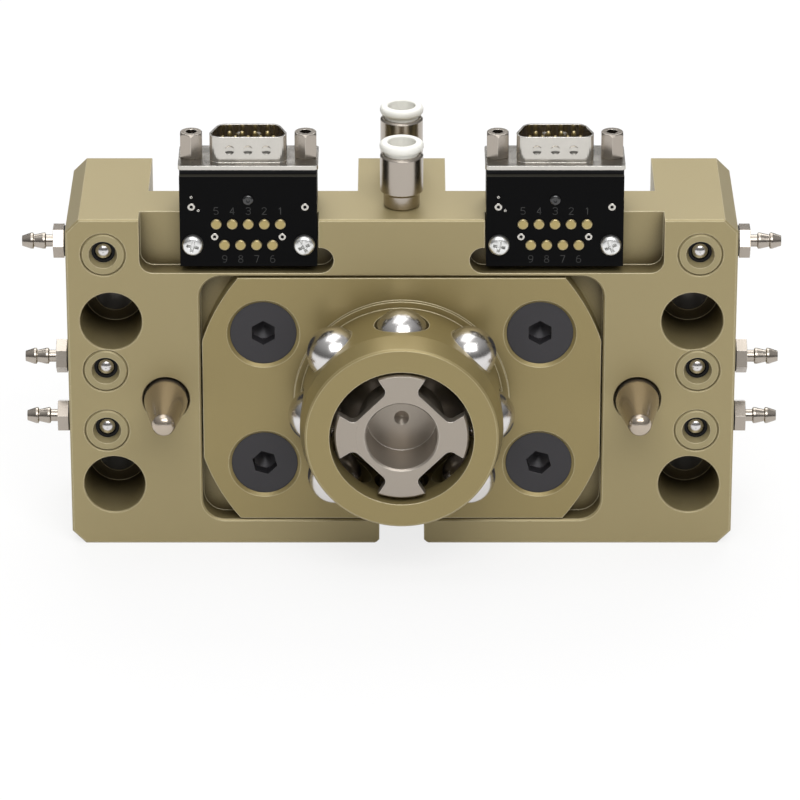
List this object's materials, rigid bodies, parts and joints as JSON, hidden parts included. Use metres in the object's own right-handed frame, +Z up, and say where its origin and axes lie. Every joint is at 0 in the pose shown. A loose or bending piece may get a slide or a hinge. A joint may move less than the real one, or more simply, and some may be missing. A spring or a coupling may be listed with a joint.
{
  "type": "robotic tool changer",
  "caption": "Robot side of a pneumatic ball-lock tool changer: slab frame, locking nose with cam piston, guide pins, air ports and plug-in signal modules.",
  "frame": {"origin": "centre of the rear robot mounting face, on the coupling axis", "axes": "+Y toward the robot along the coupling axis, -Y toward the tool, +Z up to the signal connectors, +X to the right seen from the tool side"},
  "size_m": [0.1672, 0.059, 0.096],
  "materials": {
    "anodised_frame": "satin olive-bronze hard anodised",
    "anodised_housing": "satin olive-bronze hard anodised, turned",
    "anodised_insert": "satin olive-bronze hard anodised, turned",
    "black_screw": "black oxide steel",
    "cam_steel": "ground warm grey plated steel",
    "pin_steel": "ground warm grey steel",
    "ball_chrome": "polished hardened steel",
    "spring_steel": "bright spring steel",
    "nickel_brass": "nickel-plated brass",
    "rubber": "matt black nitrile rubber",
    "board_black": "black solder-masked circuit board",
    "housing_plastic": "matt black moulded plastic",
    "contact_gold": "gold-plated brass",
    "tin_plate": "tin-plated steel",
    "insulator_brown": "dark brown moulded plastic",
    "zinc_screw": "bright zinc-plated steel",
    "collar_white": "off-white acetal"
  },
  "bodies": {
    "frame": {"frame_body": "anodised_frame", "master_housing": "anodised_housing", "rear_cover": "anodised_housing", "port_inserts_left": "anodised_insert", "port_inserts_right": "anodised_insert", "housing_screws": "black_screw", "guide_pin_left": "pin_steel", "guide_pin_right": "pin_steel", "retaining_ring": "spring_steel", "poppet_spring_left_top": "spring_steel", "poppet_spring_left_mid": "spring_steel", "poppet_spring_left_low": "spring_steel", "hose_barbs_left": "nickel_brass", "barb_gaskets_left": "rubber", "contact_board_left": "board_black", "connector_housing_left": "housing_plastic", "contact_pads_left": "contact_gold", "connector_pins_left": "contact_gold", "connector_shell_left": "tin_plate", "connector_insulator_left": "insulator_brown", "jack_screws_left": "nickel_brass", "board_screws_left": "zinc_screw", "poppet_spring_right_top": "spring_steel", "poppet_spring_right_mid": "spring_steel", "poppet_spring_right_low": "spring_steel", "hose_barbs_right": "nickel_brass", "barb_gaskets_right": "rubber", "contact_board_right": "board_black", "connector_housing_right": "housing_plastic", "contact_pads_right": "contact_gold", "connector_pins_right": "contact_gold", "connector_shell_right": "tin_plate", "connector_insulator_right": "insulator_brown", "jack_screws_right": "nickel_brass", "board_screws_right": "zinc_screw", "lock_fitting": "nickel_brass", "unlock_fitting": "nickel_brass", "cover_seal": "rubber", "rod_seal": "rubber", "port_seals": "rubber", "tube_seals": "rubber"},
    "piston": {"cam_piston": "cam_steel", "piston_seal": "rubber"},
    "ball_1": {"lock_ball_1": "ball_chrome"},
    "ball_2": {"lock_ball_2": "ball_chrome"},
    "ball_3": {"lock_ball_3": "ball_chrome"},
    "ball_4": {"lock_ball_4": "ball_chrome"},
    "ball_5": {"lock_ball_5": "ball_chrome"},
    "ball_6": {"lock_ball_6": "ball_chrome"},
    "ball_7": {"lock_ball_7": "ball_chrome"},
    "ball_8": {"lock_ball_8": "ball_chrome"},
    "poppet_left_top": {"poppet_left_top": "ball_chrome"},
    "poppet_left_mid": {"poppet_left_mid": "ball_chrome"},
    "poppet_left_low": {"poppet_left_low": "ball_chrome"},
    "poppet_right_top": {"poppet_right_top": "ball_chrome"},
    "poppet_right_mid": {"poppet_right_mid": "ball_chrome"},
    "poppet_right_low": {"poppet_right_low": "ball_chrome"},
    "lock_collar": {"lock_collar": "collar_white"},
    "unlock_collar": {"unlock_collar": "collar_white"}
  },
  "joints": [
    {"name": "piston_slide", "type": "slide", "parent": "frame", "child": "piston", "axis": [0, 1, 0], "range_m": [0, 0.0035]},
    {"name": "ball_1_slide", "type": "slide", "parent": "frame", "child": "ball_1", "axis": [0.7071, 0, 0.7071], "range_m": [-0.0047, 0]},
    {"name": "ball_2_slide", "type": "slide", "parent": "frame", "child": "ball_2", "axis": [1, 0, 0], "range_m": [-0.0028, 0]},
    {"name": "ball_3_slide", "type": "slide", "parent": "frame", "child": "ball_3", "axis": [0.7071, 0, -0.7071], "range_m": [-0.0047, 0]},
    {"name": "ball_4_slide", "type": "slide", "parent": "frame", "child": "ball_4", "axis": [0, 0, -1], "range_m": [-0.0028, 0]},
    {"name": "ball_5_slide", "type": "slide", "parent": "frame", "child": "ball_5", "axis": [-0.7071, 0, -0.7071], "range_m": [-0.0047, 0]},
    {"name": "ball_6_slide", "type": "slide", "parent": "frame", "child": "ball_6", "axis": [-1, 0, 0], "range_m": [-0.0028, 0]},
    {"name": "ball_7_slide", "type": "slide", "parent": "frame", "child": "ball_7", "axis": [-0.7071, 0, 0.7071], "range_m": [-0.0047, 0]},
    {"name": "ball_8_slide", "type": "slide", "parent": "frame", "child": "ball_8", "axis": [0, 0, 1], "range_m": [-0.0028, 0]},
    {"name": "poppet_left_top_slide", "type": "slide", "parent": "frame", "child": "poppet_left_top", "axis": [0, 1, 0], "range_m": [0, 0.0015], "stiffness_N_per_m": 300, "springref_m": -0.002, "deforming": ["poppet_spring_left_top"]},
    {"name": "poppet_left_mid_slide", "type": "slide", "parent": "frame", "child": "poppet_left_mid", "axis": [0, 1, 0], "range_m": [0, 0.0015], "stiffness_N_per_m": 300, "springref_m": -0.002, "deforming": ["poppet_spring_left_mid"]},
    {"name": "poppet_left_low_slide", "type": "slide", "parent": "frame", "child": "poppet_left_low", "axis": [0, 1, 0], "range_m": [0, 0.0015], "stiffness_N_per_m": 300, "springref_m": -0.002, "deforming": ["poppet_spring_left_low"]},
    {"name": "poppet_right_top_slide", "type": "slide", "parent": "frame", "child": "poppet_right_top", "axis": [0, 1, 0], "range_m": [0, 0.0015], "stiffness_N_per_m": 300, "springref_m": -0.002, "deforming": ["poppet_spring_right_top"]},
    {"name": "poppet_right_mid_slide", "type": "slide", "parent": "frame", "child": "poppet_right_mid", "axis": [0, 1, 0], "range_m": [0, 0.0015], "stiffness_N_per_m": 300, "springref_m": -0.002, "deforming": ["poppet_spring_right_mid"]},
    {"name": "poppet_right_low_slide", "type": "slide", "parent": "frame", "child": "poppet_right_low", "axis": [0, 1, 0], "range_m": [0, 0.0015], "stiffness_N_per_m": 300, "springref_m": -0.002, "deforming": ["poppet_spring_right_low"]},
    {"name": "lock_collar_press", "type": "slide", "parent": "frame", "child": "lock_collar", "axis": [0, 0, -1], "range_m": [0, 0.0006], "stiffness_N_per_m": 1000, "springref_m": -0.001},
    {"name": "unlock_collar_press", "type": "slide", "parent": "frame", "child": "unlock_collar", "axis": [0, 0, -1], "range_m": [0, 0.0006], "stiffness_N_per_m": 1000, "springref_m": -0.001}
  ],
  "couplings": [
    {"joint": "ball_1_slide", "follows": "piston_slide", "ratio": -1.3429},
    {"joint": "ball_2_slide", "follows": "piston_slide", "ratio": -0.8},
    {"joint": "ball_3_slide", "follows": "piston_slide", "ratio": -1.3429},
    {"joint": "ball_4_slide", "follows": "piston_slide", "ratio": -0.8},
    {"joint": "ball_5_slide", "follows": "piston_slide", "ratio": -1.3429},
    {"joint": "ball_6_slide", "follows": "piston_slide", "ratio": -0.8},
    {"joint": "ball_7_slide", "follows": "piston_slide", "ratio": -1.3429},
    {"joint": "ball_8_slide", "follows": "piston_slide", "ratio": -0.8}
  ]
}
